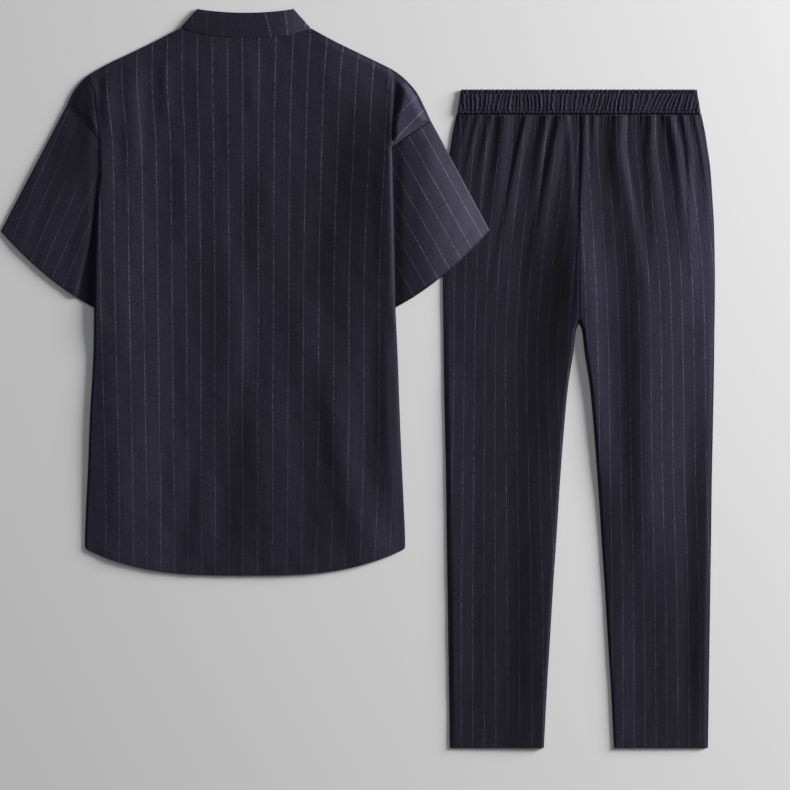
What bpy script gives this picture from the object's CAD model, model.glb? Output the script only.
"""The looks of a tang suit laid out flat with its back upwards: fine shells of dark pinstriped cloth on
the solids of the frame, with their creases, gathers, seams and stitches, and the buttons' own detail.

Metres, +X to the right, +Y towards the collar, +Z up. A place on the shirt is given from the middle
of its collar seam, and one on the trousers from the middle of their waist: across to the right, and
down towards the hems. Every shell but the collar's is made from its outer surface, and its wall
grows inwards.
"""

import math
from collections import namedtuple

import bmesh
import bpy
import numpy as np
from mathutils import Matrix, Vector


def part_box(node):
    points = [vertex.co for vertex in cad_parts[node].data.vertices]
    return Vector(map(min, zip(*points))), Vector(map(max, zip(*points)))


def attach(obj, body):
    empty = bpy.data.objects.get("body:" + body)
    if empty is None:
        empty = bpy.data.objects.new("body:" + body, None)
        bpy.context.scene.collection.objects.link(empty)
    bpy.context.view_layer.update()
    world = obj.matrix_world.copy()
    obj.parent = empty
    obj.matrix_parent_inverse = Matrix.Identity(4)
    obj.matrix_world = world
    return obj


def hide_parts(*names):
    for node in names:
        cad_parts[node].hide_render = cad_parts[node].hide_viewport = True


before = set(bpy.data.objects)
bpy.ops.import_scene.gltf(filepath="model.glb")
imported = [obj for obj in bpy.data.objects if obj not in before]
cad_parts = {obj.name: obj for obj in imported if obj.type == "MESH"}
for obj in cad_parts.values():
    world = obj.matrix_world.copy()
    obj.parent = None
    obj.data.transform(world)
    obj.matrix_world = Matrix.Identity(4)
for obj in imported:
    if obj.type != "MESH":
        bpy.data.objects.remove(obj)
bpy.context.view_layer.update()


def table(kind, *rows):
    """Rows of plain numbers with their columns named."""
    return tuple(kind(*row) for row in rows)


# Driving sizes, as the solids have them
SHIRT_LENGTH = 0.779
CHEST_HALF_WIDTH = 0.2153
TROUSER_LENGTH = 0.955
WAIST_HALF_WIDTH = 0.178
BAND_HEIGHT = 0.0365
FIRST_BUTTON = 0.105
OVERLAP = 0.016
WALL = 0.0012
SEAM_GAP = 0.00035
LAYER = WALL + SEAM_GAP
COLLAR_WALL = 0.002

# Where the shirt's collar seam and the trousers' waist lie, from the frame
button_low, button_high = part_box("button_1")
leg_low, leg_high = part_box("trouser_back_left")
other_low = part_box("trouser_back_right")[0]
SHIRT_X = (button_low.x + button_high.x) / 2
SHIRT_Y = (button_low.y + button_high.y) / 2 + FIRST_BUTTON
TROUSER_X = (leg_high.x + other_low.x) / 2
TROUSER_Y = leg_low.y + TROUSER_LENGTH

# Cloth
SHELL = 0.0006            # the wall of a shell
FRONT_SHELL = 0.0008
SLEEVE_SHELL = 0.0005
COLLAR_SHELL = 0.0016
CLEAR = 0.0001            # between two shells that rest on each other
EDGE_BEVEL = 0.00022
STRIPE_WIDTH = 0.0012
STRIPE_PITCH = 0.0208
THREAD = 0.00035
HEM_STITCH = 0.0127       # from a hem to its line of stitches
CUFF_STITCH = 0.020
STITCH_DENT = 0.0002      # how far a line of stitches pulls the cloth in
STITCH_REACH = 0.0016
STITCH_LENGTH = 0.0024
STITCH_GAP = 0.0008
STITCH_LIFT = 0.00005     # from the cloth to the middle of a stitch
SEAM_ROUND = 0.0006       # the rounding of an edge
HEM_ROUND_SHARE = 0.6     # how much of this rounding a hem has
CUFF_ROUND_SHARE = 0.4
NECK_ROUND = 0.0003
ARMHOLE_ROUND = 0.0003    # the rounding at the right armhole: the left one has half of it

# Faint waves in the cloth: their height, their wavelengths, and the turn that they start from
BACK_RIPPLES = (0.00016, (0.055, 0.038, 0.021), 0.4)
SLEEVE_RIPPLES = (0.00014, (0.045, 0.028), 1.1)
LEG_RIPPLES = (0.00013, (0.050, 0.031, 0.019), 2.0)

# How fine the shells are: the rows of each, and the points in a row
BACK_MESH = (236, 176)
FRONT_MESH = (170, 64)
NECKLINE_ROWS = 34        # of a front, beside its neckline
SLEEVE_MESH = (84, 84)
LEG_MESH = (250, 128)
LEG_UNDER_MESH = (120, 72)
BAND_MESH = (46, 640)
COLLAR_MESH = (9, 70)
COLLAR_HALF_POINTS = 40   # in a row of each hidden half of the collar

# The cut of each piece laid flat, without seam allowances: how it is held, its width and its length
Cut = namedtuple("Cut", "held width length")

# Heights of the outer surface of the shirt's back
LOW = LAYER + WALL
NECK_LEVEL = COLLAR_WALL + 2 * SEAM_GAP + WALL + 0.0002
HEM_LEVEL = 2 * LAYER + WALL
TOP = 3 * LAYER + WALL
RIGHT_REACH = 0.019       # how far in from its edge the back has reached its full height
LEFT_REACHES = (0.045, 0.070)    # and from its left edge, at the hem and at the armhole
NECK_REACH = 0.075
HEM_REACH = 0.085
LEFT_ROLL = (0.0040, 0.0016)     # how far in a side rolls down to its fold, and by how much
RIGHT_ROLL = (0.0056, 0.0026)
LEFT_LOW = 0.79           # how much less the left side stands up near its armhole
LEFT_FULL = 0.42          # and from which share of the length on it stands up in full
LEFT_GROWS = 0.16         # over this share of the length
LEFT_REACH_CHANGES = (0.45, 0.25)    # shares of the length, from the hem's reach to the armhole's
NECK_ENDS = 0.004         # the share of the length at which the collar no longer lifts the back
FOLD_EDGE = 0.003         # how far in from an edge the folds have their full height
RIPPLE_EDGE = 0.02
FRONT_CLEAR = 0.0002      # between the back and the fronts under it
EDGE_SINK = 0.0006        # how much nearer its edges may come to them
EDGE_SINK_REACH = 0.012
ROLL_CLEAR = 0.0004       # what a roll leaves of the height of the layers under it
SIDE_STARTS = 0.05        # below the armhole's corner, a side rolls in full after this share
ARMHOLE_STARTS = (0.115, 0.125)
ARMHOLE_ENDS = (0.205, 0.195)

# An edge of the shirt seen from the back: down is a share of SHIRT_LENGTH and out of CHEST_HALF_WIDTH
NECK_SHARE = -0.018
HEM_SHARE = 0.953
EdgeRow = namedtuple("EdgeRow", "down out")
LEFT_SHOULDER = table(
    EdgeRow, (-0.018, 0.424), (0.004, 0.579), (0.026, 0.741), (0.048, 0.909), (0.065, 1.017),
    (0.076, 1.071), (0.093, 1.125), (0.108, 1.158), (0.125, 1.185),
)
LEFT_SIDE = table(
    EdgeRow, (0.188, 0.963), (0.250, 0.963), (0.302, 0.980), (0.367, 0.993), (0.432, 1.000),
    (0.545, 1.003), (0.600, 1.009), (0.702, 1.030), (0.804, 1.044), (0.879, 1.057), (0.940, 1.064),
    (0.946, 1.063), (0.950, 1.057), (0.953, 1.044),
)
RIGHT_SHOULDER = table(
    EdgeRow, (-0.018, 0.458), (0.004, 0.604), (0.026, 0.766), (0.048, 0.930), (0.060, 1.014),
    (0.078, 1.097), (0.102, 1.172), (0.127, 1.219), (0.153, 1.263),
)
RIGHT_SIDE = table(
    EdgeRow, (0.203, 1.002), (0.400, 1.020), (0.501, 1.027), (0.545, 1.034), (0.600, 1.043),
    (0.702, 1.056), (0.795, 1.070), (0.879, 1.084), (0.940, 1.092), (0.946, 1.092), (0.950, 1.087),
    (0.953, 1.074),
)
SHOULDERS = {-1: LEFT_SHOULDER, 1: RIGHT_SHOULDER}
SIDES = {-1: LEFT_SIDE, 1: RIGHT_SIDE}
# Shares of SHIRT_LENGTH between which each side lies on a sleeve
ON_SLEEVE = (0.125, 0.190, 0.520, 0.600)

# How far below its two ends the middle of a row across the shirt lies, as a share of SHIRT_LENGTH
SagRow = namedtuple("SagRow", "down sag")
SAGS = table(
    SagRow, (-0.018, 0.018), (0.004, 0.012), (0.048, 0.004), (0.093, 0.000), (0.804, 0.000),
    (0.879, 0.020), (0.944, 0.042), (0.953, 0.047),
)

# Soft ridges and, where the height is negative, troughs, along lines that may bow sideways
Fold = namedtuple("Fold", "across down to_across to_down half_width height bow", defaults=(0.0,))
BACK_FOLDS = table(
    Fold,
    (-0.222, 0.030, -0.216, 0.150, 0.012, 0.0014),
    (-0.199, 0.010, -0.199, 0.150, 0.012, 0.0012, 0.002),
    (-0.161, 0.010, -0.162, 0.220, 0.020, 0.0018, 0.002),
    (-0.113, 0.020, -0.112, 0.135, 0.013, 0.0012),
    (-0.205, 0.100, -0.196, 0.800, 0.105, 0.0036),
    (0.222, 0.050, 0.216, 0.440, 0.110, 0.0040),
    (0.214, 0.060, 0.212, 0.420, 0.026, 0.0016),
    (0.036, 0.170, 0.030, 0.380, 0.038, 0.0014, 0.004),
    (-0.003, 0.160, -0.006, 0.350, 0.026, -0.0006),
    (0.116, 0.400, 0.181, 0.790, 0.036, 0.0031, -0.005),
    (0.211, 0.340, 0.214, 0.700, 0.026, 0.0022),
    (0.034, 0.490, 0.022, 0.780, 0.058, 0.0026, 0.004),
    (0.088, 0.340, 0.084, 0.520, 0.030, 0.0018, 0.003),
    (-0.026, 0.280, -0.018, 0.520, 0.038, 0.0020, 0.003),
    (-0.060, 0.600, -0.062, 0.775, 0.028, 0.0018),
    (0.014, 0.050, 0.015, 0.115, 0.012, 0.0008),
    (-0.090, 0.140, -0.086, 0.330, 0.030, 0.0010, 0.003),
    (-0.088, 0.560, -0.100, 0.740, 0.024, 0.0012),
    (0.150, 0.230, 0.130, 0.430, 0.050, 0.0016),
)
# Where the nap of the shirt's back lies one way or the other, so that it looks lighter or darker
BACK_NAP = table(
    Fold,
    (-0.166, 0.000, -0.140, 0.980, 0.110, 0.36),
    (-0.190, 0.030, -0.160, 0.300, 0.070, 0.26),
    (-0.150, 0.020, -0.150, 0.200, 0.016, 0.30),
    (-0.135, 0.500, -0.140, 0.860, 0.060, 0.16),
    (0.128, 0.330, 0.140, 0.560, 0.036, -0.26),
    (0.206, 0.640, 0.216, 0.880, 0.028, 0.60),
    (0.165, 0.090, 0.165, 0.310, 0.034, -0.16),
    (-0.186, 0.040, -0.186, 0.260, 0.020, 0.26),
    (-0.204, 0.380, -0.210, 0.860, 0.030, 0.26),
    (-0.112, 0.480, -0.116, 0.820, 0.030, 0.18),
    (-0.218, 0.060, -0.212, 0.190, 0.016, -0.44),
    (-0.238, 0.020, -0.238, 0.200, 0.030, -0.40),
    (0.196, 0.030, 0.160, 0.440, 0.105, -0.40),
    (0.060, 0.150, 0.050, 0.420, 0.060, -0.10),
    (0.150, -0.060, 0.184, 0.110, 0.062, 0.46),
    (0.200, 0.300, 0.202, 0.720, 0.030, -0.22),
    (0.098, 0.460, 0.120, 0.800, 0.038, -0.26),
    (0.000, 0.480, 0.008, 0.780, 0.048, -0.15),
    (-0.046, 0.270, -0.038, 0.500, 0.040, -0.12),
    (0.180, 0.640, 0.212, 0.830, 0.026, 0.20),
    (-0.080, 0.030, 0.080, 0.060, 0.090, 0.08),
    (0.2165, 0.440, 0.2200, 0.640, 0.006, -0.40),
    (0.152, 0.485, 0.153, 0.595, 0.013, -0.16),
)

# The fold line at the shoulder, where the body lies on its own cap
CapRow = namedtuple("CapRow", "down left right")
CAP_LINE = table(
    CapRow, (0.030, -0.226, 0.2175), (0.056, -0.222, 0.2172), (0.083, -0.213, 0.2170),
    (0.113, -0.2105, 0.2160), (0.140, -0.2080, 0.2155), (0.170, -0.2073, 0.2150),
)
CAP_STEP = 0.0034         # how far the body drops to its cap
CAP_STEP_REACH = 0.0024
CAP_STEP_EDGE = 0.006     # over this width from its outer edge the step grows
CAP_RIM = 0.0006          # how far the body swells above this step
CAP_RIM_IN = 0.003        # and how far in from it
CAP_RIM_REACH = 0.006
CAP_RISE_IN = 0.001       # how far out from the step the cap starts to rise
CAP_OPENS = (0.050, 0.076)    # over this depth the step grows
CAP_CLOSES = (0.156, 0.144)
CAP_RISES = (0.020, 0.006)    # from the step to the crown of the cap, at its top and at its seam
CAP_RISE_DOWN = (0.080, 0.130)
CAP_CROWN = 0.0072
CAP_EDGE = 0.014          # from the crown on it falls to its outer edge over this width
CAP_CREASE = table(Fold, (0.2400, 0.052, 0.2235, 0.122, 0.0045, 0.0011))
CAP_STRIPES = 1.4         # how strongly the stripe beside the right armhole shows
CAP_STRIPES_DOWN = (0.045, 0.175)    # between these depths a cap has stripes of its own
CAP_STRIPES_LEFT = -0.2233           # and, at the left, beyond this place
CAP_NAP = 1.15            # how much lighter the right cap looks
LEFT_CAP = 0.2            # how much of the right cap's form the left one has
CapStripes = namedtuple("CapStripes", "turn start pitch")
CAP_GRAIN = {-1: CapStripes(-40.0, -0.2290, 0.0212), 1: CapStripes(44.0, 0.2612, 0.0212)}

# Where three numbered stripes cross the cloth at each depth
StripeRow = namedtuple("StripeRow", "down first middle last")
BACK_STRIPE_NUMBERS = (-8, 0, 8)
BACK_STRIPES = table(
    StripeRow, (0.000, -0.1745, -0.0012, 0.1960), (0.053, -0.1755, -0.0004, 0.1885),
    (0.162, -0.1675, -0.0004, 0.1827), (0.380, -0.1643, 0.0007, 0.1755),
    (0.554, -0.1610, -0.0010, 0.1755), (0.670, -0.1590, 0.0000, 0.1730),
    (0.778, -0.1588, 0.0000, 0.1690),
)
COLLAR_STRIPE_NUMBERS = (0, 4, 5)
COLLAR_STRIPES = table(
    StripeRow, (-0.0500, -0.0515, 0.0280, 0.0605), (-0.0323, -0.0515, 0.0329, 0.0622),
    (-0.0044, -0.0515, 0.0405, 0.0651), (0.0200, -0.0515, 0.0460, 0.0670),
)
FRONT_STRIPE_SHIFT = 0.0035    # how far the stripes of a hidden front are moved out from its middle
UNDER_STRIPE_SHIFT = 0.004
UNDER_STRIPE_PITCH = 0.0165
LEG_STRIPE_NUMBERS = {-1: (0, 4, 9), 1: (0, 5, 9)}
LEG_STRIPES = {
    -1: table(
        StripeRow, (0.040, -0.1710, -0.0957, -0.0150), (0.059, -0.1710, -0.0957, -0.0160),
        (0.161, -0.1760, -0.1072, -0.0275), (0.277, -0.1805, -0.1173, -0.0405),
        (0.393, -0.1811, -0.1217, -0.0463), (0.567, -0.1840, -0.1217, -0.0405),
        (0.777, -0.1876, -0.1210, -0.0347), (0.960, -0.1876, -0.1205, -0.0335),
    ),
    1: table(
        StripeRow, (0.040, 0.0262, 0.0959, 0.1540), (0.059, 0.0262, 0.0959, 0.1540),
        (0.161, 0.0320, 0.1060, 0.1683), (0.277, 0.0393, 0.1161, 0.1800),
        (0.393, 0.0429, 0.1190, 0.1828), (0.542, 0.0451, 0.1205, 0.1843),
        (0.777, 0.0480, 0.1263, 0.1908), (0.960, 0.0480, 0.1277, 0.1915),
    ),
}

# Fronts and buttons
NECKLINE_DROP = 0.075
BUTTON_COUNT = 6
BUTTON_PITCH = 0.095
BUTTON_RADIUS = 0.00575
BUTTON_SIDES = 48
BUTTON_DISH = 0.42        # how deep its middle is dished, as a share of its thickness
HOLE_OUT = 0.00125        # from a button's middle to a hole, both ways
HOLE_RADIUS = 0.00062
CROSS_LENGTH = 0.0034     # of the two stitches that cross on a button
CROSS_SUNK = 0.0001
BUTTON_STRIP = 0.016
STRIP_RAMP = 0.030
STRIP_PAST = 0.035
STRIP_ENDS = 0.020
LAP_REACH = OVERLAP + 0.018
LAP_RAMP = 0.014
PLACKET = 0.030           # from a front's own edge to its line of stitches
UNDER_EDGE = 0.0006       # how far a hidden front stays inside the edge of its back
# A button's outline from the middle of its face to that of its back: shares of its radius and thickness
BUTTON_PROFILE = (
    (0.00, BUTTON_DISH), (0.30, BUTTON_DISH), (0.62, BUTTON_DISH), (0.70, 0.30), (0.78, 0.10), (0.86, 0.02),
    (0.93, 0.04), (0.98, 0.16), (1.00, 0.42), (0.985, 0.78), (0.93, 0.94), (0.80, 1.00), (0.00, 1.00),
)

# Sleeves, whose cuffs are given from the middle of the collar seam, and whose stripes are turned
Sleeve = namedtuple("Sleeve", "side tip_across tip_down low_down turn start pitch folds")
LEFT_SLEEVE = Sleeve(-1, -0.351, 0.280, 0.403, 23.5, -0.1907, 0.0190, table(
    Fold,
    (-0.232, 0.120, -0.300, 0.360, 0.030, 0.0009, 0.004),
    (-0.285, 0.150, -0.335, 0.290, 0.022, 0.0008),
    (-0.226, 0.240, -0.250, 0.400, 0.020, 0.0012),
))
RIGHT_SLEEVE = Sleeve(1, 0.3575, 0.279, 0.401, -29.3, 0.0972, 0.0213, table(
    Fold,
    (0.240, 0.150, 0.262, 0.380, 0.030, 0.0004, -0.004),
    (0.300, 0.170, 0.345, 0.290, 0.024, 0.0004),
))
TUCK = 0.017              # how far a sleeve lies under the back
CUFF_BOW = 0.0138
SLEEVE_RISE = 0.020
FRONT_MARGIN = 0.014
TROUSER_MARGIN = 0.012
TROUSER_RISE = 0.028
RAMP_EASE = 0.075
TUBE = 2 * WALL + 0.0004  # the height of a flattened sleeve
PRESSED = 0.00125         # and of its part under the fold at the side of the back
SIDE_RAISED = LAYER - 0.0003    # how high this part lies
SLEEVE_GROWS = (0.001, 0.017)    # how far beyond the back's fold it grows to its full height
SLEEVE_SWELL = 0.0012     # and how much more it swells in its middle
SLEEVE_SWELLS = (0.004, 0.034)
SLEEVE_CURL = 1.3         # how far in its edges curl, as a share of half its height
SLEEVE_EDGE_DARK = 0.0034    # how far in its seam and its cuff look darker
WEDGE_SINK = 0.95         # how much of its height the left sleeve loses in the deep fold
WEDGE_EDGE = 0.004
WEDGE_STARTS = 0.03
# The edge of the deep fold beside the left side of the back
WedgeRow = namedtuple("WedgeRow", "down across")
WEDGE = table(WedgeRow, (0.184, -0.2140), (0.283, -0.2225), (0.336, -0.2345), (0.385, -0.2450))

# Collar
COLLAR_HEIGHT = 0.034
COLLAR_SIDE_HEIGHT = 0.0275
COLLAR_LEAN = 0.0247
COLLAR_DIP = 0.005
COLLAR_LEVEL = COLLAR_WALL + 0.0001
COLLAR_CROWN = 0.0005
COLLAR_BEVEL = 0.0003
INNER_GAP = 0.0004

# Trousers: shares of TROUSER_LENGTH from the top of the waistband, and of WAIST_HALF_WIDTH
LegRow = namedtuple("LegRow", "down outer inner")
LEG = table(
    LegRow, (0.0383, 0.997, 0.000), (0.064, 1.026, 0.000), (0.090, 1.048, 0.000), (0.115, 1.067, 0.000),
    (0.162, 1.086, 0.000), (0.214, 1.102, 0.000), (0.295, 1.108, 0.000), (0.354, 1.105, 0.000),
    (0.364, 1.104, 0.022), (0.399, 1.102, 0.045), (0.454, 1.098, 0.090), (0.527, 1.090, 0.126),
    (0.600, 1.082, 0.155), (0.673, 1.077, 0.180), (0.762, 1.070, 0.212), (0.837, 1.064, 0.236),
    (0.913, 1.058, 0.261), (1.000, 1.051, 0.285),
)
WAIST_SHARE = LEG[0].down
CROTCH_DOWN = LEG[7].down * TROUSER_LENGTH
# Their left side, from the shirt's middle
TROUSER_EDGE = TROUSER_X - max(row.outer for row in LEG) * WAIST_HALF_WIDTH - SHIRT_X
LEG_CROWN = 0.001
LEG_REACH = 0.050
SEAT_RISE = 0.0024
SEAT_HALF_WIDTH = 0.075
SEAT_START = 0.080
SEAT_REACH = 0.27
SEAT_ROUND = 0.00035
GATHER_FULLNESS = 0.0014  # how much higher the gathered cloth lies
LEG_ROLL = (0.0090, 0.0020)    # how far in a leg's outer side rolls down to its seam, and by how much
LEG_FOLD_EDGES = (0.008, 0.0042)    # how far in from its side and its inseam its folds are in full
SEAM_CLOSES = 0.0020      # over this width the back comes down on the front at a side seam
WAIST_CLOSES = 0.0024     # and at the waist, where the seam keeps this share of the gathers' height
WAIST_KEEPS = 0.12
WAIST_DARK = 0.35         # and its nap, this share of its lightness

SEAT_SEAM = 0.0003        # how deep the seat's seam sinks in
SEAT_SEAM_REACH = 0.0025
PUCKER_HEIGHT = 0.0007    # the small puckers across the seat's seam
PUCKER_PITCH = 0.013
PUCKER_HALF_WIDTH = 0.010
PUCKERS_AT = 0.285
PUCKERS_REACH = 0.055
SMALL_GATHER = 0.0013     # the fine creases under the waistband
UNDER_GATHER = 0.0007     # and those of the hidden fronts

# Gathers below the waistband: each crest's place across at three depths, how far down it reaches, its
# height, and how wide its dark left slope and its light right slope are
GATHER_DEPTHS = (0.011, 0.049, 0.102)
GATHER_BEND = 0.012
Gather = namedtuple("Gather", "top middle low reach height left right")
GATHER_FOLDS = table(
    Gather,
    (-0.1624, -0.1711, -0.1790, 0.080, 0.0010, 0.0050, 0.0060),
    (-0.1479, -0.1566, -0.1668, 0.150, 0.0016, 0.0060, 0.0070),
    (-0.1291, -0.1363, -0.1436, 0.175, 0.0020, 0.0090, 0.0070),
    (-0.1088, -0.1117, -0.1189, 0.237, 0.0036, 0.0140, 0.0150),
    (-0.0783, -0.0870, -0.0972, 0.300, 0.0030, 0.0070, 0.0130),
    (-0.0464, -0.0544, -0.0610, 0.200, 0.0038, 0.0150, 0.0060),
    (-0.0283, -0.0370, -0.0464, 0.325, 0.0035, 0.0110, 0.0170),
    (-0.0160, -0.0131, -0.0116, 0.225, 0.0014, 0.0080, 0.0060),
    (0.0065, 0.0060, 0.0038, 0.400, 0.0021, 0.0040, 0.0110),
    (0.0218, 0.0218, 0.0190, 0.100, 0.0012, 0.0050, 0.0080),
    (0.0430, 0.0420, 0.0400, 0.060, 0.0010, 0.0040, 0.0040),
    (0.0600, 0.0570, 0.0665, 0.330, 0.0054, 0.0240, 0.0120),
    (0.0914, 0.0900, 0.0880, 0.050, 0.0010, 0.0040, 0.0040),
    (0.1044, 0.1030, 0.1073, 0.250, 0.0038, 0.0140, 0.0120),
    (0.1233, 0.1240, 0.1250, 0.060, 0.0010, 0.0040, 0.0040),
    (0.1334, 0.1421, 0.1479, 0.275, 0.0038, 0.0140, 0.0110),
    (0.1523, 0.1595, 0.1610, 0.350, 0.0022, 0.0070, 0.0100),
    (0.1697, 0.1769, 0.1842, 0.300, 0.0014, 0.0060, 0.0060),
)
LEG_FOLDS = table(
    Fold,
    (-0.186, 0.240, -0.186, 1.040, 0.040, 0.0020),
    (-0.004, 0.120, -0.040, 0.640, 0.080, 0.0040),
    (-0.036, 0.460, -0.064, 1.060, 0.062, 0.0034),
    (0.003, 0.100, 0.032, 0.700, 0.046, 0.0040),
    (0.088, 0.160, 0.098, 0.780, 0.028, 0.0017),
    (0.104, 0.120, 0.100, 0.820, 0.085, 0.0040),
    (0.186, 0.380, 0.181, 1.020, 0.032, 0.0028),
    (0.050, 0.560, 0.060, 1.040, 0.030, 0.0016),
    (-0.120, 0.560, -0.124, 1.000, 0.034, 0.0010),
    (0.135, 0.600, 0.130, 0.980, 0.034, 0.0012, 0.003),
)
LEG_NAP = table(
    Fold,
    (-0.036, 0.130, -0.054, 0.640, 0.056, -0.44),
    (-0.062, 0.480, -0.082, 1.080, 0.052, -0.36),
    (0.004, 0.080, 0.050, 0.640, 0.023, 0.62),
    (0.070, 0.200, 0.080, 0.740, 0.022, -0.14),
    (0.036, 0.040, 0.045, 0.270, 0.016, -0.40),
    (-0.014, 0.060, -0.040, 0.480, 0.022, -0.28),
    (0.186, 0.090, 0.191, 0.520, 0.016, 0.90),
    (0.158, 0.030, 0.170, 0.380, 0.026, 0.55),
    (-0.190, 0.180, -0.190, 0.700, 0.016, 0.30),
    (0.142, 0.080, 0.128, 0.760, 0.060, 0.46),
    (0.178, 0.420, 0.166, 1.020, 0.030, -0.36),
    (0.060, 0.720, 0.066, 1.060, 0.030, 0.16),
    (-0.175, 0.250, -0.176, 1.080, 0.030, 0.10),
)

# Waistband
BAND_GATHERS = 60
BAND_GATHER_HEIGHT = 0.0013
BAND_FINE = 0.30          # the height of the finer gathers between them, as a share of it
BAND_FRILL = 0.0016       # the height of the small frill along its top
BAND_BEAD = 0.86          # the share of the band's height at which its line of stitches lies
BEAD_HEIGHT = 0.0020
BAND_LEVEL = 0.0042
BAND_START = 0.0008
BAND_TURN = 0.0012        # the rounding of its top
BAND_CLOSES = 0.0026      # how far in its two ends close
BAND_TOP_CLOSES = 0.0014
BAND_SEAM_CLOSES = 0.0020
BAND_SCALLOP = 0.0011     # how far its top edge goes up and down
BAND_PINCH = 0.75         # how far the casing is pressed together at its top and at its seam
BAND_LEANS = (-0.05, 0.44)    # how far its gathers lean to the right going up, at its left and its right
BAND_TOP_WIDTH = 0.962
BAND_SEAM_WIDTH = 0.994
Wave = namedtuple("Wave", "size pace start")
BAND_SPACING = (Wave(0.22, 1.7, 0.0), Wave(0.16, 3.9, 1.0))

# Colours
CLOTH_DARK = (0.0101, 0.0091, 0.0178, 1.0)
CLOTH_LIGHT = (0.0185, 0.0169, 0.0299, 1.0)
CLOTH_GREY = (0.0170, 0.0166, 0.0205, 1.0)
STRIPE_COLOUR = (0.075, 0.072, 0.100, 1.0)
THREAD_COLOURS = ((0.0034, 0.0033, 0.0060, 1.0), (0.0090, 0.0086, 0.0140, 1.0))
HORN_COLOURS = ((0.006, 0.006, 0.010, 1.0), (0.020, 0.018, 0.024, 1.0))
FLOOR_COLOUR = (0.62, 0.62, 0.63, 1.0)

# The weave's relief
TWILL_PITCH = 0.0011
WEAVE_DEPTH = 0.00016
WEAVE_STRENGTH = 0.35

# Light and camera
Light = namedtuple("Light", "name azimuth elevation distance size power colour")
LIGHTS = table(
    Light, ("Key", 22.0, 17.0, 5.0, 2.0, 640.0, (1.0, 0.985, 0.97)),
    ("Top", 60.0, 74.0, 3.4, 2.6, 17.0, (1.0, 1.0, 1.0)),
)
WORLD_COLOUR = (0.93, 0.95, 1.0, 1.0)
WORLD_STRENGTH = 0.14
FRAME_PIXELS = 790
PIXEL = 0.00145           # metres of the floor to a pixel
FRAME_MIDDLE = (0.0539, -0.0244)
CAMERA_HEIGHT = 6.0
SENSOR = 36.0
FLOOR_REACH = 8.0
FLOOR_LEVEL = -0.0004


# Curves and waves

def soft(share):
    """0 below 0, 1 above 1, and a soft S between them."""
    share = np.clip(share, 0.0, 1.0)
    return share * share * (3.0 - 2.0 * share)


def passed(place, start, end):
    """0 before the start, 1 past the end, and a soft S between them."""
    return soft((place - start) / (end - start))


def blend(start, end, share):
    """start where the share is 0, and end where it is 1."""
    return start + (end - start) * share


def hump(share):
    """1 at 0, rounding down to 0 at 1 on either side."""
    share = np.clip(np.abs(share), 0.0, 1.0)
    return (1.0 - share * share) ** 2


def wave(turns):
    """1 at every whole number and 0 halfway between them."""
    return 0.5 + 0.5 * np.cos(2 * math.pi * turns)


def rounded(distance, radius):
    """How far a rounded edge has dropped at a distance in from the edge."""
    share = 1.0 - np.clip(distance / radius, 0.0, 1.0)
    return radius * (1.0 - np.sqrt(np.clip(1.0 - share * share, 0.0, 1.0)))


def closed_share(distance, radius):
    """1 at an edge, rounding down to 0 a radius in from it."""
    return rounded(distance, radius) / radius


def rolled(distance, reach):
    """1 at an edge, and less and less steeply down to 0 where its roll ends."""
    return (1.0 - np.clip(distance / reach, 0.0, 1.0)) ** 2


def stitched(from_edge, line, depth=STITCH_DENT):
    """How far the cloth is pulled in by a line of stitches beside an edge."""
    return depth * hump((from_edge - line) / STITCH_REACH)


def smooth_curve(places, values):
    """A curve through the points that overshoots none of them, as a function of the place."""
    places = np.asarray(places, float)
    values = np.asarray(values, float)
    steps = np.diff(places)
    slopes = np.diff(values) / steps
    tangents = np.zeros_like(values)
    tangents[0] = slopes[0]
    tangents[-1] = slopes[-1]
    for i in range(1, len(values) - 1):
        if slopes[i - 1] * slopes[i] > 0:
            before = 2 * steps[i] + steps[i - 1]
            after = steps[i] + 2 * steps[i - 1]
            tangents[i] = (before + after) / (before / slopes[i - 1] + after / slopes[i])

    def at(place):
        place = np.clip(place, places[0], places[-1])
        i = np.clip(np.searchsorted(places, place) - 1, 0, len(steps) - 1)
        t = (place - places[i]) / steps[i]
        start = (1 + 2 * t) * (1 - t) ** 2 * values[i] + t * (1 - t) ** 2 * steps[i] * tangents[i]
        end = t * t * (3 - 2 * t) * values[i + 1] + t * t * (t - 1) * steps[i] * tangents[i + 1]
        return start + end

    return at


def column(rows, name):
    """One column of a table as a smooth curve over its column down."""
    return smooth_curve([row.down for row in rows], [getattr(row, name) for row in rows])


def fold_heights(folds, across, down):
    """What a table of folds adds to the height at each place."""
    total = np.zeros(np.broadcast(across, down).shape)
    for fold in folds:
        run_across = fold.to_across - fold.across
        run_down = fold.to_down - fold.down
        length = math.hypot(run_across, run_down)
        along = ((across - fold.across) * run_across + (down - fold.down) * run_down) / length**2
        aside = ((across - fold.across) * run_down - (down - fold.down) * run_across) / length
        bow = 4 * fold.bow * along * (1 - along)
        ends = soft(along / 0.35) * soft((1.0 - along) / 0.35)
        total += fold.height * ends * hump((aside - bow) / fold.half_width)
    return total


def ripples(across, down, size, wavelengths, start):
    """Faint uneven waves of cloth that lies by its own weight."""
    total = np.zeros(np.broadcast(across, down).shape)
    for number, wavelength in enumerate(wavelengths):
        turn = 2.4 * number + start
        pace = 2 * math.pi / wavelength
        along = across * math.cos(turn) + 0.45 * down * math.sin(turn)
        warp = 0.35 * np.sin(pace * 0.37 * (down * math.cos(turn) - across) + 1.7 * number)
        total += size / (1 + 0.4 * number) * np.sin(pace * along + warp + 2.1 * number)
    return total


# Rows and shells

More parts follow.
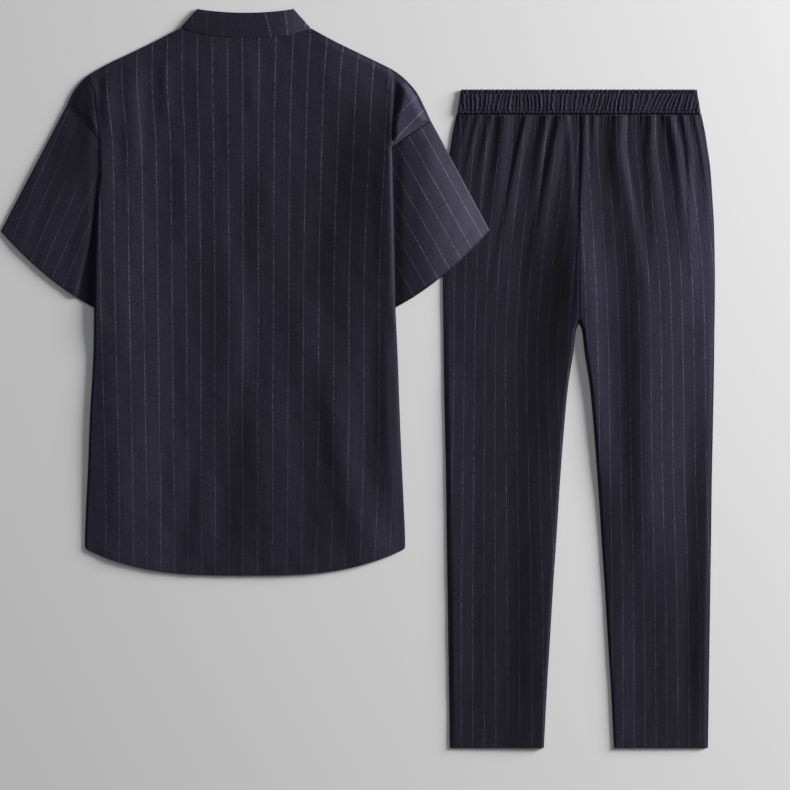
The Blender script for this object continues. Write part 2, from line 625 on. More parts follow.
def spaced(start, end, count, dense=()):
    """count places from start to end, closer together near the dense places: each of these is a
    place, how far it reaches and how many times closer the places are there."""
    fine = np.linspace(start, end, 1500)
    density = np.ones_like(fine)
    for place, reach, gain in dense:
        density += gain * np.exp(-(((fine - place) / reach) ** 2))
    filled = np.concatenate(([0.0], np.cumsum((density[1:] + density[:-1]) / 2)))
    return np.interp(np.linspace(0.0, filled[-1], count), filled, fine)


def spread(one_edge, other_edge, count, reach):
    """Rows of places from the left edge to the right one, closer together near both."""
    rows = []
    for start, end in zip(np.minimum(one_edge, other_edge), np.maximum(one_edge, other_edge)):
        rows.append(spaced(start, end, count, ((start, reach, 4), (end, reach, 4))))
    return np.array(rows)


def in_rows(values, across):
    """One value for each row, as wide as the rows are."""
    return np.repeat(values[:, None], across.shape[1], axis=1)


def placed(x, y, height):
    return np.stack(np.broadcast_arrays(x, y, height), axis=-1)


def on_shirt(across, down, height):
    return placed(SHIRT_X + across, SHIRT_Y - down, height)


def on_trousers(across, down, height):
    return placed(TROUSER_X + across, TROUSER_Y - down, height)


def ringed(upper, lower, pace=1):
    """The rows of a flattened ring: its upper half, and then back along its lower one, where pace says
    how many points each step takes."""
    return np.concatenate((upper, lower[:, -2:0:-pace]), axis=1)


def lengths_along(points):
    """How far each point lies along its path from the first one."""
    steps = np.linalg.norm(np.diff(points, axis=0), axis=-1)
    return np.concatenate((np.zeros_like(steps[:1]), np.cumsum(steps, axis=0)))


def add_piece(name, points, faces, material):
    data = bpy.data.meshes.new(name)
    data.from_pydata(points, [], faces)
    data.materials.append(material)
    data.polygons.foreach_set("use_smooth", np.ones(len(data.polygons), bool))
    piece = bpy.data.objects.new(name, data)
    bpy.context.scene.collection.objects.link(piece)
    return piece


def face_corners(values, faces_down):
    """The values at the four corners of every face, from rows of a value for each point."""
    corners = [values[:-1, :-1], values[1:, :-1], values[1:, 1:], values[:-1, 1:]]
    if faces_down:
        corners = corners[::-1]
    return np.stack(corners, axis=2)


def turns_round(grain):
    """How many stripes further on a closed ring comes back to where it started."""
    step = np.diff(grain[:, -3:, 0], axis=1).mean()
    return float((grain[:, -1, 0] - grain[:, 0, 0]).mean() + step)


def shell(name, points, grain, tone=1.0, wall=SHELL, closed=False, faces_down=False, other=None, shown=1.0):
    """One shell through rows of points on its outer surface, listed from the collar's end to the
    hem's and, in a row, from left to right. grain holds each point's place on the cloth: stripes
    across and metres along. other is a second grain and the faces that take it. tone is how light
    the cloth looks, and shown how strong its stripes are."""
    rows, columns = points.shape[:2]
    numbers = np.arange(rows * columns).reshape(rows, columns)
    if closed:
        numbers = np.concatenate((numbers, numbers[:, :1]), axis=1)
        grain = np.concatenate((grain, grain[:, :1] + np.array((turns_round(grain), 0.0))), axis=1)
    quads = face_corners(numbers, faces_down).reshape(-1, 4)
    piece = add_piece(name, points.reshape(-1, 3).tolist(), quads.tolist(), cloth)
    picked = face_corners(grain, faces_down)
    if other is not None:
        second, mask = other
        picked = np.where(mask[..., None, None], face_corners(second, faces_down), picked)
    layer = piece.data.uv_layers.new(name="grain")
    layer.data.foreach_set("uv", picked.reshape(-1).astype(np.float32))
    for label, values in (("tone", tone), ("stripes shown", shown)):
        attribute = piece.data.attributes.new(label, "FLOAT", "POINT")
        values = np.broadcast_to(values, (rows, columns)).reshape(-1)
        attribute.data.foreach_set("value", values.astype(np.float32))
    thickness = piece.modifiers.new("Thickness", "SOLIDIFY")
    thickness.thickness = wall
    thickness.offset = -1.0
    thickness.use_even_offset = True
    bevel = piece.modifiers.new("Soft edge", "BEVEL")
    bevel.width = EDGE_BEVEL
    bevel.segments = 2
    bevel.limit_method = "ANGLE"
    bevel.angle_limit = math.radians(60)
    return piece


def stripe_grain(rows, numbers, across, down):
    """Each place's number of stripes, from where three of them cross each row of a table."""
    first = column(rows, "first")(down)
    middle = column(rows, "middle")(down)
    last = column(rows, "last")(down)
    before = numbers[1] + (across - middle) / (middle - first) * (numbers[1] - numbers[0])
    after = numbers[1] + (across - middle) / (last - middle) * (numbers[2] - numbers[1])
    stripes = np.where(across < middle, before, after)
    return np.stack((stripes, np.broadcast_to(down, stripes.shape)), axis=-1)


def lined_grain(lines, across, down):
    """Straight stripes at a pitch, turned from the vertical: the start is where stripe 0 passes."""
    turn = math.radians(lines.turn)
    ahead = across * math.cos(turn) + down * math.sin(turn)
    along = down * math.cos(turn) - across * math.sin(turn)
    return np.stack(((ahead - lines.start) / lines.pitch, along), axis=-1)


# Shirt

def side_curve(side):
    """An edge of the shirt: its shoulder, the straight end of its cap, and its side."""
    upper = column(SHOULDERS[side], "out")
    lower = column(SIDES[side], "out")
    corner = SHOULDERS[side][-1]
    start = SIDES[side][0]

    def out(down_share):
        down_share = np.asarray(down_share, float)
        between = blend(corner.out, start.out, (down_share - corner.down) / (start.down - corner.down))
        result = np.where(down_share < corner.down, upper(down_share), between)
        return np.where(down_share > start.down, lower(down_share), result) * CHEST_HALF_WIDTH

    return out


left_out = side_curve(-1)
right_out = side_curve(1)
sag_at = column(SAGS, "sag")
cap_left = column(CAP_LINE, "left")
cap_right = column(CAP_LINE, "right")


def row_depth(down_share, across):
    """How far down a row across the shirt lies at one place, in metres."""
    left, right = -left_out(down_share), right_out(down_share)
    share = np.abs(across - (left + right) / 2) / ((right - left) / 2)
    sag = sag_at(down_share) * (1.0 - np.minimum(share, 1.0) ** 3)
    return (down_share + sag) * SHIRT_LENGTH


def on_sleeve(down_share):
    """1 where the side of the back lies on a sleeve, and 0 where it lies on its front alone."""
    begin, full, ending, over = ON_SLEEVE
    return passed(down_share, begin, full) * passed(down_share, over, ending)


def slanted(curve, down_share):
    """The share of a distance across that is square to a slanted edge."""
    step = 0.004
    slope = (curve(down_share + step) - curve(down_share - step)) / (2 * step * SHIRT_LENGTH)
    return 1.0 / np.sqrt(1.0 + slope * slope)


def front_height(side, across, down):
    """The outer, lower surface of a front, lifted by the buttons. The right one laps over the left."""
    beside = soft((BUTTON_STRIP + STRIP_RAMP - np.abs(across)) / STRIP_RAMP)
    last = FIRST_BUTTON + (BUTTON_COUNT - 1) * BUTTON_PITCH
    started = soft((down - FIRST_BUTTON + STRIP_PAST) / STRIP_ENDS)
    ending = soft((last + STRIP_PAST - down) / STRIP_ENDS)
    height = LAYER * beside * started * ending
    if side > 0:
        height = height + LAYER * soft((LAP_REACH - across) / LAP_RAMP)
    return height


def fronts_top(across, down):
    right = front_height(1, across, down)
    left = front_height(-1, across, down)
    return np.where(across > -OVERLAP - 0.013, right, left) + FRONT_SHELL


def cap_run(down):
    """How far it is from the step at a cap to the cap's crown."""
    return blend(*CAP_RISES, passed(down, *CAP_RISE_DOWN))


def cap_heights(across, down, from_left, from_right):
    """The step down to both caps, their crowns, and the crease in the right one."""
    total = fold_heights(CAP_CREASE, across, down)
    opened = passed(down, *CAP_OPENS) * passed(down, *CAP_CLOSES)
    at_right = (across - cap_right(down), from_right, 1.0)
    at_left = (cap_left(down) - across, from_left, LEFT_CAP)
    for beyond, edge, share in (at_right, at_left):
        drop = CAP_STEP * soft(beyond / CAP_STEP_REACH) * soft(edge / CAP_STEP_EDGE)
        crown = CAP_CROWN * soft((beyond - CAP_RISE_IN) / cap_run(down)) * soft(edge / CAP_EDGE)
        rim = CAP_RIM * hump((beyond + CAP_RIM_IN) / CAP_RIM_REACH)
        total += share * opened * (rim + crown - drop)
    return total


def back_top(across, down_share):
    """The height of the shirt's back, which is its outer surface."""
    left, right = -left_out(down_share), right_out(down_share)
    down = row_depth(down_share, across)
    from_left = across - left
    from_right = right - across
    inside = np.minimum(from_left, from_right)
    from_neck = (down_share - NECK_SHARE) * SHIRT_LENGTH
    from_hem = (HEM_SHARE - down_share) * SHIRT_LENGTH

    lowered = np.where(across < 0, LEFT_LOW * soft((LEFT_FULL - down_share) / LEFT_GROWS), 0.0)
    level = blend(LOW, TOP, on_sleeve(down_share) * (1.0 - lowered))
    level = np.maximum(level, blend(NECK_LEVEL, LOW, passed(down_share, NECK_SHARE, NECK_ENDS)))
    full = blend(NECK_LEVEL, TOP, soft(from_neck / NECK_REACH))
    full = np.minimum(full, blend(HEM_LEVEL, TOP, soft(from_hem / HEM_REACH)))
    left_reach = blend(*LEFT_REACHES, passed(down_share, *LEFT_REACH_CHANGES))
    height = blend(level, full, soft(from_left / left_reach) * soft(from_right / RIGHT_REACH))
    height += fold_heights(BACK_FOLDS, across, down) * soft(inside / FOLD_EDGE)
    height += ripples(across, down, *BACK_RIPPLES) * soft(inside / RIPPLE_EDGE)
    height += cap_heights(across, down, from_left, from_right)
    floor = fronts_top(across, down) + SHELL + FRONT_CLEAR
    height = np.maximum(height, floor - EDGE_SINK * (1.0 - soft(inside / EDGE_SINK_REACH)))

    # Its edges: rounded at the seams, and rolled down to the fold at both sides
    square_left = from_left * slanted(left_out, down_share)
    square_right = from_right * slanted(right_out, down_share)
    armhole = np.where(across < 0, ARMHOLE_ROUND / 2, ARMHOLE_ROUND)
    at_armhole = passed(down_share, *ARMHOLE_STARTS) * passed(down_share, *ARMHOLE_ENDS)
    radius = blend(SEAM_ROUND, armhole, at_armhole)
    height -= rounded(square_left, radius) + rounded(square_right, radius)
    side = soft((down_share - LEFT_SHOULDER[-1].down) / SIDE_STARTS)
    beneath = blend(FRONT_SHELL, SIDE_RAISED + PRESSED, on_sleeve(down_share) * side)
    rest = beneath + SHELL + CLEAR
    for distance, (reach, most) in ((square_left, LEFT_ROLL), (square_right, RIGHT_ROLL)):
        height -= side * np.clip(level - rest - ROLL_CLEAR, 0.0, most) * rolled(distance, reach)
    height -= rounded(from_neck, NECK_ROUND) + HEM_ROUND_SHARE * rounded(from_hem, SEAM_ROUND)
    height -= stitched(from_hem, HEM_STITCH, 1.1 * STITCH_DENT)
    height -= STITCH_DENT * soft((from_hem - HEM_STITCH + 0.001) / 0.004)
    return np.maximum(height, rest)


def back_tone(across, down):
    """How light the cloth of the back looks, from its nap and its pressed folds."""
    tone = 1.0 + 0.03 * np.sin(31.0 * across + 6.0 * down) + 0.03 * np.sin(17.0 * down - 9.0 * across)
    tone += fold_heights(BACK_NAP, across, down)
    run = cap_run(down)
    on_cap = soft((across - cap_right(down) - 0.45 * run) / (0.35 * run))
    tone += CAP_NAP * on_cap * passed(down, 0.045, 0.075) * passed(down, 0.20, 0.19)
    return tone + 0.75 * hump((across - 0.2150) / 0.0050) * passed(down, 0.42, 0.37)


def back_rows(shares):
    """The places across each row of the back, closer together at its edges and at the caps' steps."""
    rows = []
    for share in shares:
        down = share * SHIRT_LENGTH
        left, right = -float(left_out(share)), float(right_out(share))
        near = 2.4 * float(passed(down, 0.19, 0.16))
        dense = [(edge, 0.0035, 4) for edge in (left, right)]
        dense += [(float(line(down)), 0.006, near) for line in (cap_right, cap_left)]
        rows.append(spaced(left, right, BACK_MESH[1], dense))
    return np.array(rows)


def make_shirt_back():
    dense = ((NECK_SHARE, 0.004, 3), (HEM_SHARE, 0.006, 5), (0.95, 0.02, 1.5), (0.16, 0.03, 0.6))
    shares = spaced(NECK_SHARE, HEM_SHARE, BACK_MESH[0], dense)
    for side in (-1, 1):
        for corner in (SHOULDERS[side][-1], SIDES[side][0]):
            shares[np.argmin(np.abs(shares - corner.down))] = corner.down
    across = back_rows(shares)
    down_share = in_rows(shares, across)
    down = row_depth(down_share, across)
    points = on_shirt(across, down, back_top(across, down_share))
    grain = stripe_grain(BACK_STRIPES, BACK_STRIPE_NUMBERS, across, down)
    right_cap = lined_grain(CAP_GRAIN[1], across, down)
    on_cap = np.where((across > 0)[..., None], right_cap, lined_grain(CAP_GRAIN[-1], across, down))
    middle_across = (across[:-1, :-1] + across[1:, 1:]) / 2
    middle_down = (down[:-1, :-1] + down[1:, 1:]) / 2
    beyond = (middle_across > cap_right(middle_down) + 0.001) | (middle_across < CAP_STRIPES_LEFT)
    mask = beyond & (middle_down < CAP_STRIPES_DOWN[1]) & (middle_down > CAP_STRIPES_DOWN[0])
    shown = 1.0 - 0.45 * passed(down, 0.30, 0.75) - 0.75 * passed(across, -0.2120, -0.2180)
    shown_on_cap = blend(CAP_STRIPES, 0.1, passed(np.abs(on_cap[..., 0]), 0.4, 1.8))
    shown = np.where(across > cap_right(down), shown_on_cap, shown)
    tone = back_tone(across, down)
    return shell("back_cloth", points, grain, tone, other=(on_cap, mask), shown=shown), points


def neckline(side, turn, clear=0.0):
    """A point of the front's neckline, from the shoulder's neck point to the front's own edge."""
    edge = SHOULDERS[side][0]
    reach = edge.out * CHEST_HALF_WIDTH + OVERLAP - clear
    across = side * (reach * np.cos(turn) - OVERLAP)
    return across, edge.down * SHIRT_LENGTH + (NECKLINE_DROP - clear) * np.sin(turn)


def make_shirt_front(name, side):
    """A front lies under everything, so its outer surface faces the floor."""
    inner_neck, down_neck = neckline(side, np.linspace(0.012, math.pi / 2, NECKLINE_ROWS))
    hem_down = HEM_SHARE * SHIRT_LENGTH
    downs = spaced(down_neck[-1] + 0.003, hem_down, FRONT_MESH[0], ((hem_down, 0.005, 5),))
    inner = np.concatenate((inner_neck, np.full(len(downs), -side * OVERLAP)))
    shares = np.concatenate((down_neck, downs)) / SHIRT_LENGTH
    edge = side * ((left_out if side < 0 else right_out)(shares) - UNDER_EDGE)
    across = spread(edge, inner, FRONT_MESH[1], 0.003)
    share = in_rows(shares, across)
    down = np.where(share > SAGS[4].down, row_depth(share, across), share * SHIRT_LENGTH)
    own_edge = np.abs(across + side * OVERLAP)
    height = front_height(side, across, down) + stitched(hem_down - share * SHIRT_LENGTH, HEM_STITCH)
    height += stitched(own_edge, PLACKET, 0.9 * STITCH_DENT) * (down > NECKLINE_DROP)
    points = on_shirt(across, down, height)
    grain = np.stack(((across - side * FRONT_STRIPE_SHIFT) / STRIPE_PITCH + 0.5, down), axis=-1)
    return shell(name, points, grain, wall=FRONT_SHELL, faces_down=True), points


# Sleeves

def side_fold(side):
    """How far out the fold at a side of the back meets its sleeve."""
    return SIDES[side][0].out * CHEST_HALF_WIDTH


def climbed(side, across, down, run):
    """How far the right sleeve has climbed onto the trousers, when it climbs over a run."""
    if side < 0:
        return 0.0
    onto = soft((across - TROUSER_EDGE + TROUSER_MARGIN + run) / run)
    started = soft((down - RIGHT_SHOULDER[-1].down * SHIRT_LENGTH) / TROUSER_RISE)
    return (2 * LAYER + LEG_CROWN) * onto * started


def sleeve_rise(side, across, down):
    """How high the underside of a sleeve lies: on the shirt's front under the fold at the side, and
    for the right sleeve on the trousers at its other edge."""
    from_front = side_fold(side) + FRONT_MARGIN + SLEEVE_RISE - np.abs(across)
    return SIDE_RAISED * soft(from_front / SLEEVE_RISE) + climbed(side, across, down, TROUSER_RISE)


def wedge_depth(across, down):
    """How deep the left sleeve sinks beside the back, from 0 to 1."""
    line = column(WEDGE, "across")(down)
    return soft((across - line) / WEDGE_EDGE) * soft((down - WEDGE[0].down) / WEDGE_STARTS)


def sleeve_height(sleeve, across, down, from_outer, along):
    """The height of a flattened sleeve: pressed under the back's fold, and full beyond it."""
    side = sleeve.side
    beyond = np.abs(across) - side_fold(side)
    height = blend(PRESSED, TUBE, passed(beyond, *SLEEVE_GROWS))
    swell = SLEEVE_SWELL * passed(beyond, *SLEEVE_SWELLS)
    height += swell * soft(along / 0.3) * soft(from_outer / 0.03)
    # Its upper side climbs onto the trousers over a longer way than its underside
    height += climbed(side, across, down, RAMP_EASE) - climbed(side, across, down, TROUSER_RISE)
    height += fold_heights(sleeve.folds, across, down) * soft(beyond / 0.006)
    height += ripples(across, down, *SLEEVE_RIPPLES) * soft(beyond / 0.01)
    if side < 0:
        height = PRESSED + CLEAR + (height - PRESSED) * (1 - WEDGE_SINK * wedge_depth(across, down))
    return height


def sleeve_nap(sleeve, across, down, share, along):
    """How light the cloth of a sleeve looks and how far its stripes show: the right one catches the
    light towards its outer edge, and the left one has a dull patch and a deep fold."""
    if sleeve.side > 0:
        out = (across - side_fold(1)) / (sleeve.tip_across - side_fold(1))
        tone = 0.84 + 2.7 * passed(out, 0.06, 1.04) + 0.35 * share * (1.0 - along)
        tone *= 1.0 + 0.38 * passed(share, 0.42, 0.87) * (1.0 - 0.55 * along)
        tone *= 1.0 - 0.24 * passed(along, 0.35, 0.75) * (1.0 - passed(share, 0.1, 0.6))
        return tone, np.broadcast_to(0.7 + 0.6 * share, tone.shape)
    dull = hump(np.hypot((across + 0.230) / 0.060, (down - 0.168) / 0.090))
    deep = wedge_depth(across, down)
    tone = 1.04 - 0.40 * dull + 0.14 * passed(along, 0.55, 0.85) - 0.45 * deep
    return tone, (0.70 + 0.16 * np.sin(38.0 * down + 60.0 * across) - 0.66 * dull) * (1.0 - deep)


def sleeve_corners(sleeve):
    """The outer and the inner end of a sleeve's armhole seam, and of its cuff."""
    side = sleeve.side
    shoulder = SHOULDERS[side][-1]
    outer = np.array((side * shoulder.out * CHEST_HALF_WIDTH, shoulder.down * SHIRT_LENGTH))
    seam_low = np.array((side * side_fold(side), SIDES[side][0].down * SHIRT_LENGTH))
    way = (seam_low - outer) / np.linalg.norm(seam_low - outer)
    outer = outer + np.array((-way[1], way[0])) * np.sign(way[0]) * SEAM_GAP
    inner_across = side * (side_fold(side) - TUCK)
    inner = outer + way * (inner_across - outer[0]) / way[0]
    outer_cuff = np.array((sleeve.tip_across, sleeve.tip_down))
    return outer, inner, outer_cuff, np.array((inner_across, sleeve.low_down))


def make_sleeve(name, sleeve):
    """A flattened tube, whose upper and lower sides meet in a curl at both edges."""
    side = sleeve.side
    outer_top, inner_top, outer_cuff, inner_cuff = sleeve_corners(sleeve)
    along = spaced(0.0, 1.0, SLEEVE_MESH[0], ((0.0, 0.02, 3), (1.0, 0.02, 3)))[:, None, None]
    share = spaced(0.0, 1.0, SLEEVE_MESH[1], ((0.0, 0.015, 4), (1.0, 0.015, 4)))[None, :, None]
    outer = blend(outer_top, outer_cuff, along)
    inner = blend(inner_top, inner_cuff, along)
    place = blend(inner, outer, share)
    along = along[..., 0]
    share = share[..., 0]
    across = place[..., 0]
    down = place[..., 1] + CUFF_BOW * along**2 * 4 * share * (1 - share)
    width = np.linalg.norm(outer - inner, axis=-1)
    length = np.linalg.norm(outer_cuff - outer_top)
    from_seam = along * length
    from_cuff = (1 - along) * length
    half = sleeve_height(sleeve, across, down, (1 - share) * width, along)
    half = (half - stitched(from_cuff, CUFF_STITCH)) / 2
    edge = np.minimum(share, 1 - share) * width
    curl = 1.0 - np.clip(edge / (SLEEVE_CURL * half), 0.0, 1.0)
    open_share = np.sqrt(np.clip(1.0 - curl * curl, 0.0, 1.0))
    middle = sleeve_rise(side, across, down) + half
    ease = ARMHOLE_ROUND / 3 if side < 0 else rounded(from_seam, ARMHOLE_ROUND)
    ease = ease + CUFF_ROUND_SHARE * rounded(from_cuff, SEAM_ROUND)
    upper = on_shirt(across, down, middle + (half - ease) * open_share)
    ring = ringed(upper, on_shirt(across, down, middle - half * open_share))
    grain = lined_grain(sleeve, across, down)
    tone, shown = sleeve_nap(sleeve, across, down, share, along)
    tone = tone * (0.4 + 0.6 * open_share)
    tone = tone * (0.45 + 0.55 * soft(np.minimum(from_seam, from_cuff) / SLEEVE_EDGE_DARK))
    plain = np.ones_like(tone)
    piece = shell(
        name, ring, ringed(grain, grain), ringed(tone, plain), wall=SLEEVE_SHELL, closed=True,
        faces_down=side < 0, shown=ringed(shown, plain),
    )
    return piece, ring, upper


# Collar

def collar_half(side):
    """The seam and the edge of the collar's hidden half at one side, from its end to its fold."""
    reach = SHOULDERS[side][0].out * CHEST_HALF_WIDTH + OVERLAP
    end_turn = math.acos((OVERLAP + 0.0015) / (reach - 2 * SEAM_GAP))
    turns = np.linspace(end_turn, 0.0, COLLAR_HALF_POINTS)
    across, down = neckline(side, turns, blend(COLLAR_WALL + INNER_GAP, 2 * SEAM_GAP, soft(turns / 0.2)))
    height = blend(COLLAR_SIDE_HEIGHT, COLLAR_HEIGHT, np.sin(turns))
    edge_across = across - side * COLLAR_LEAN * np.cos(turns)
    return on_shirt(across, down, COLLAR_LEVEL), on_shirt(edge_across, down - height, COLLAR_LEVEL)


def collar_back(start, end):
    """The seam and the edge of the collar's back, between the folds at both sides of the neck."""
    share = np.linspace(0.0, 1.0, COLLAR_MESH[1])
    from_middle = np.abs(2 * share - 1)
    x = blend(start[0], end[0], share)
    seam_y = start[1] - SAGS[0].sag * SHIRT_LENGTH * (1 - from_middle**3) + 0.00015
    edge_y = start[1] + COLLAR_SIDE_HEIGHT - COLLAR_DIP * (1 - from_middle**2)
    top = COLLAR_LEVEL + INNER_GAP
    return placed(x, seam_y, top), placed(x - COLLAR_LEAN * (2 * share - 1), edge_y, top)


def make_collar():
    """One band round the neck: a hidden half at each side under the back, and the back on top. It is
    made from its inner surface, as the others are from their outer one."""
    left, right = collar_half(-1), collar_half(1)
    back = collar_back(left[0][-1], right[0][-1])
    fold_out = np.array((INNER_GAP / 2, 0.0, 0.0))
    rows = []
    for height in np.linspace(1.0, 0.0, COLLAR_MESH[0]):
        start, middle, end = (blend(seam, edge, height) for seam, edge in (left, back, right))
        end = end[::-1]
        middle = middle + np.array((0.0, 0.0, COLLAR_CROWN * math.sin(math.pi * height)))
        left_fold = (start[-1] + middle[0]) / 2 - fold_out
        right_fold = (middle[-1] + end[0]) / 2 + fold_out
        rows.append(np.concatenate((start, [left_fold], middle, [right_fold], end)))
    points = np.array(rows)
    across = points[..., 0] - SHIRT_X
    down = SHIRT_Y - points[..., 1]
    grain = stripe_grain(COLLAR_STRIPES, COLLAR_STRIPE_NUMBERS, across, down)
    along = lengths_along(points[-1])
    first = len(left[0])
    last = first + len(back[0]) + 1
    for fold, hidden in ((first, slice(0, first)), (last, slice(last + 1, None))):
        grain[:, hidden, 0] = grain[:, fold : fold + 1, 0] + (along[hidden] - along[fold]) / STRIPE_PITCH
    tone = 0.98 + 0.75 * passed(across, 0.020, 0.080) + 0.80 * passed(across, 0.052, 0.082)
    tone -= 0.12 * passed(across, 0.0, -0.04)
    shown = 0.05 + 0.35 * passed(across, -0.012, -0.022) + 1.05 * passed(across, 0.018, 0.030)
    piece = shell("collar_cloth", points, grain, tone, wall=COLLAR_SHELL, shown=shown)
    piece.modifiers["Thickness"].offset = 1.0
    piece.modifiers["Soft edge"].width = COLLAR_BEVEL
    return piece, points


# Trousers

leg_outer = column(LEG, "outer")
leg_inner = column(LEG, "inner")


def leg_edges(down_share):
    outer = leg_outer(down_share) * WAIST_HALF_WIDTH
    inner = np.maximum(leg_inner(down_share) * WAIST_HALF_WIDTH, SEAM_GAP / 2)
    return outer, inner


def under_sleeve(across, down):
    """How far the right sleeve presses on the trousers, from 0 outside its outline to 1 well inside."""
    shoulder = RIGHT_SHOULDER[-1]
    top = (shoulder.out * CHEST_HALF_WIDTH, shoulder.down * SHIRT_LENGTH)
    tip = (RIGHT_SLEEVE.tip_across, RIGHT_SLEEVE.tip_down)
    low = (side_fold(1), RIGHT_SLEEVE.low_down)
    place = np.stack((across + TROUSER_X - SHIRT_X, down + SHIRT_Y - TROUSER_Y), axis=-1)
    inside = []
    for start, end in ((top, tip), (tip, low)):
        way = np.subtract(end, start) / np.linalg.norm(np.subtract(end, start))
        inside.append((place - start) @ np.array((-way[1], way[0])))
    return soft(np.minimum(*inside) / 0.012)


def gather_ends():
    """Where the waistband's gathers meet, from -1 to 1 of its half width, unevenly spaced."""
    number = np.arange(BAND_GATHERS)
    steps = 1.0 + sum(each.size * np.sin(each.pace * number + each.start) for each in BAND_SPACING)
    ends = np.concatenate(([0.0], np.cumsum(steps)))
    return ends / ends[-1] * 2.0 - 1.0


GATHER_ENDS = gather_ends()


def band_phase(share):
    """Counts the gathers across the waistband: a whole number in the middle of each."""
    return np.interp(share, GATHER_ENDS, np.arange(BAND_GATHERS + 1)) - 0.5


def seam_phase(across):
    """The same count, along the waistband's seam."""
    return band_phase(across / (BAND_SEAM_WIDTH * WAIST_HALF_WIDTH))


def gather_line(fold, below_band):
    """Where the crest of a gather lies at each depth, in straight runs joined by soft bends."""
    first, second, third = GATHER_DEPTHS
    upper = (fold.middle - fold.top) / (second - first)
    lower = (fold.low - fold.middle) / (third - second)
    past = below_band - second
    return fold.middle + upper * past + (lower - upper) * 0.5 * (np.sqrt(past**2 + GATHER_BEND**2) + past)


def gather_heights(across, below_band):
    """The gathers that run down from the waistband."""
    total = np.zeros(np.broadcast(across, below_band).shape)
    for fold in GATHER_FOLDS:
        along = np.clip(below_band / fold.reach, 0.0, 1.0)
        aside = across - gather_line(fold, below_band)
        width = np.where(aside < 0, fold.left, fold.right) * (0.85 + 0.6 * along)
        total += fold.height * (1.0 - soft(along)) * hump(aside / width)
    return total


def small_gathers(across, below_band):
    """The fine creases that end soon below the waistband, one for each gather in it."""
    phase = seam_phase(across)
    number = np.floor(phase + 0.5)
    reach = 0.016 + 0.010 * np.sin(number * 2.7) + 0.006 * np.sin(number * 5.1)
    fade = np.exp(-((below_band / np.maximum(reach, 0.006)) ** 1.5))
    return SMALL_GATHER * (np.abs(np.cos(math.pi * phase)) ** 0.8 - 0.6) * fade


def trouser_top(across, down_share):
    """The height of the trousers' back, which is its outer surface."""
    outer, inner = leg_edges(down_share)
    down = down_share * TROUSER_LENGTH
    below_band = down - WAIST_SHARE * TROUSER_LENGTH
    from_hem = TROUSER_LENGTH - down
    outside = outer - np.abs(across)
    inside = np.abs(across) - inner
    to_inseam = np.hypot(inside, np.maximum(CROTCH_DOWN - down, 0.0))
    nearest = np.minimum(outside, to_inseam)

    height = LAYER + WALL + LEG_CROWN * soft(nearest / LEG_REACH)
    seat = SEAT_RISE * hump(across / SEAT_HALF_WIDTH) * soft(below_band / SEAT_START)
    height += seat * (1.0 - passed(below_band, SEAT_REACH / 2, SEAT_REACH))
    gathered = GATHER_FULLNESS * (1.0 - soft(below_band / SEAT_REACH)) * soft(outside / 0.012)
    gathered += gather_heights(across, below_band)
    height += gathered * (1.0 - 0.8 * under_sleeve(across, down))
    height += small_gathers(across, below_band)
    edged = soft(outside / LEG_FOLD_EDGES[0]) * soft(to_inseam / LEG_FOLD_EDGES[1])
    height += fold_heights(LEG_FOLDS, across, down) * edged
    height += ripples(across, down, *LEG_RIPPLES) * soft(below_band / 0.05)
    puckers = PUCKER_HEIGHT * hump(across / PUCKER_HALF_WIDTH) * np.sin(2 * math.pi * down / PUCKER_PITCH)
    height += puckers * hump((down - PUCKERS_AT) / PUCKERS_REACH)

    # Its edges: rolled and rounded, and closed on the front at the side seams, inseams and waist
    reach, drop = LEG_ROLL
    roll = drop * rolled(outside, reach)
    height -= np.where(across > 0, roll, 0.3 * roll) * soft(below_band / 0.06)
    parted = passed(inner, 0.0004, 0.0040)
    height -= rounded(outside, SEAM_ROUND) + rounded(inside, blend(SEAT_ROUND, SEAM_ROUND, parted))
    height -= SEAT_SEAM * hump(inside / SEAT_SEAM_REACH) * (1 - parted)
    waist = LAYER + SHELL
    height = blend(waist, height, blend(WAIST_KEEPS, 1.0, soft(below_band / WAIST_CLOSES)))
    height -= HEM_ROUND_SHARE * rounded(from_hem, SEAM_ROUND) + stitched(from_hem, HEM_STITCH)
    rest = 2 * SHELL + CLEAR
    return np.maximum(blend(height, rest, closed_share(nearest, SEAM_CLOSES)), rest)


def make_trouser_back(name, side):
    dense = ((WAIST_SHARE, 0.006, 7), (0.09, 0.10, 2.0), (1.0, 0.004, 5), (0.355, 0.008, 5))
    shares = spaced(WAIST_SHARE, 1.0, LEG_MESH[0], dense)
    outer, inner = leg_edges(shares)
    across = spread(side * inner, side * outer, LEG_MESH[1], 0.0025)
    share = in_rows(shares, across)
    down = share * TROUSER_LENGTH
    points = on_trousers(across, down, trouser_top(across, share))
    grain = stripe_grain(LEG_STRIPES[side], LEG_STRIPE_NUMBERS[side], across, down)
    tone = 0.88 + 0.03 * np.sin(40.0 * across + 5.0 * down) + 0.02 * np.sin(13.0 * down)
    tone += fold_heights(LEG_NAP, across, down)
    below_band = down - WAIST_SHARE * TROUSER_LENGTH
    tone *= blend(WAIST_DARK, 1.0, soft(below_band / (1.4 * WAIST_CLOSES)))
    return shell(name, points, grain, tone, shown=0.9), points


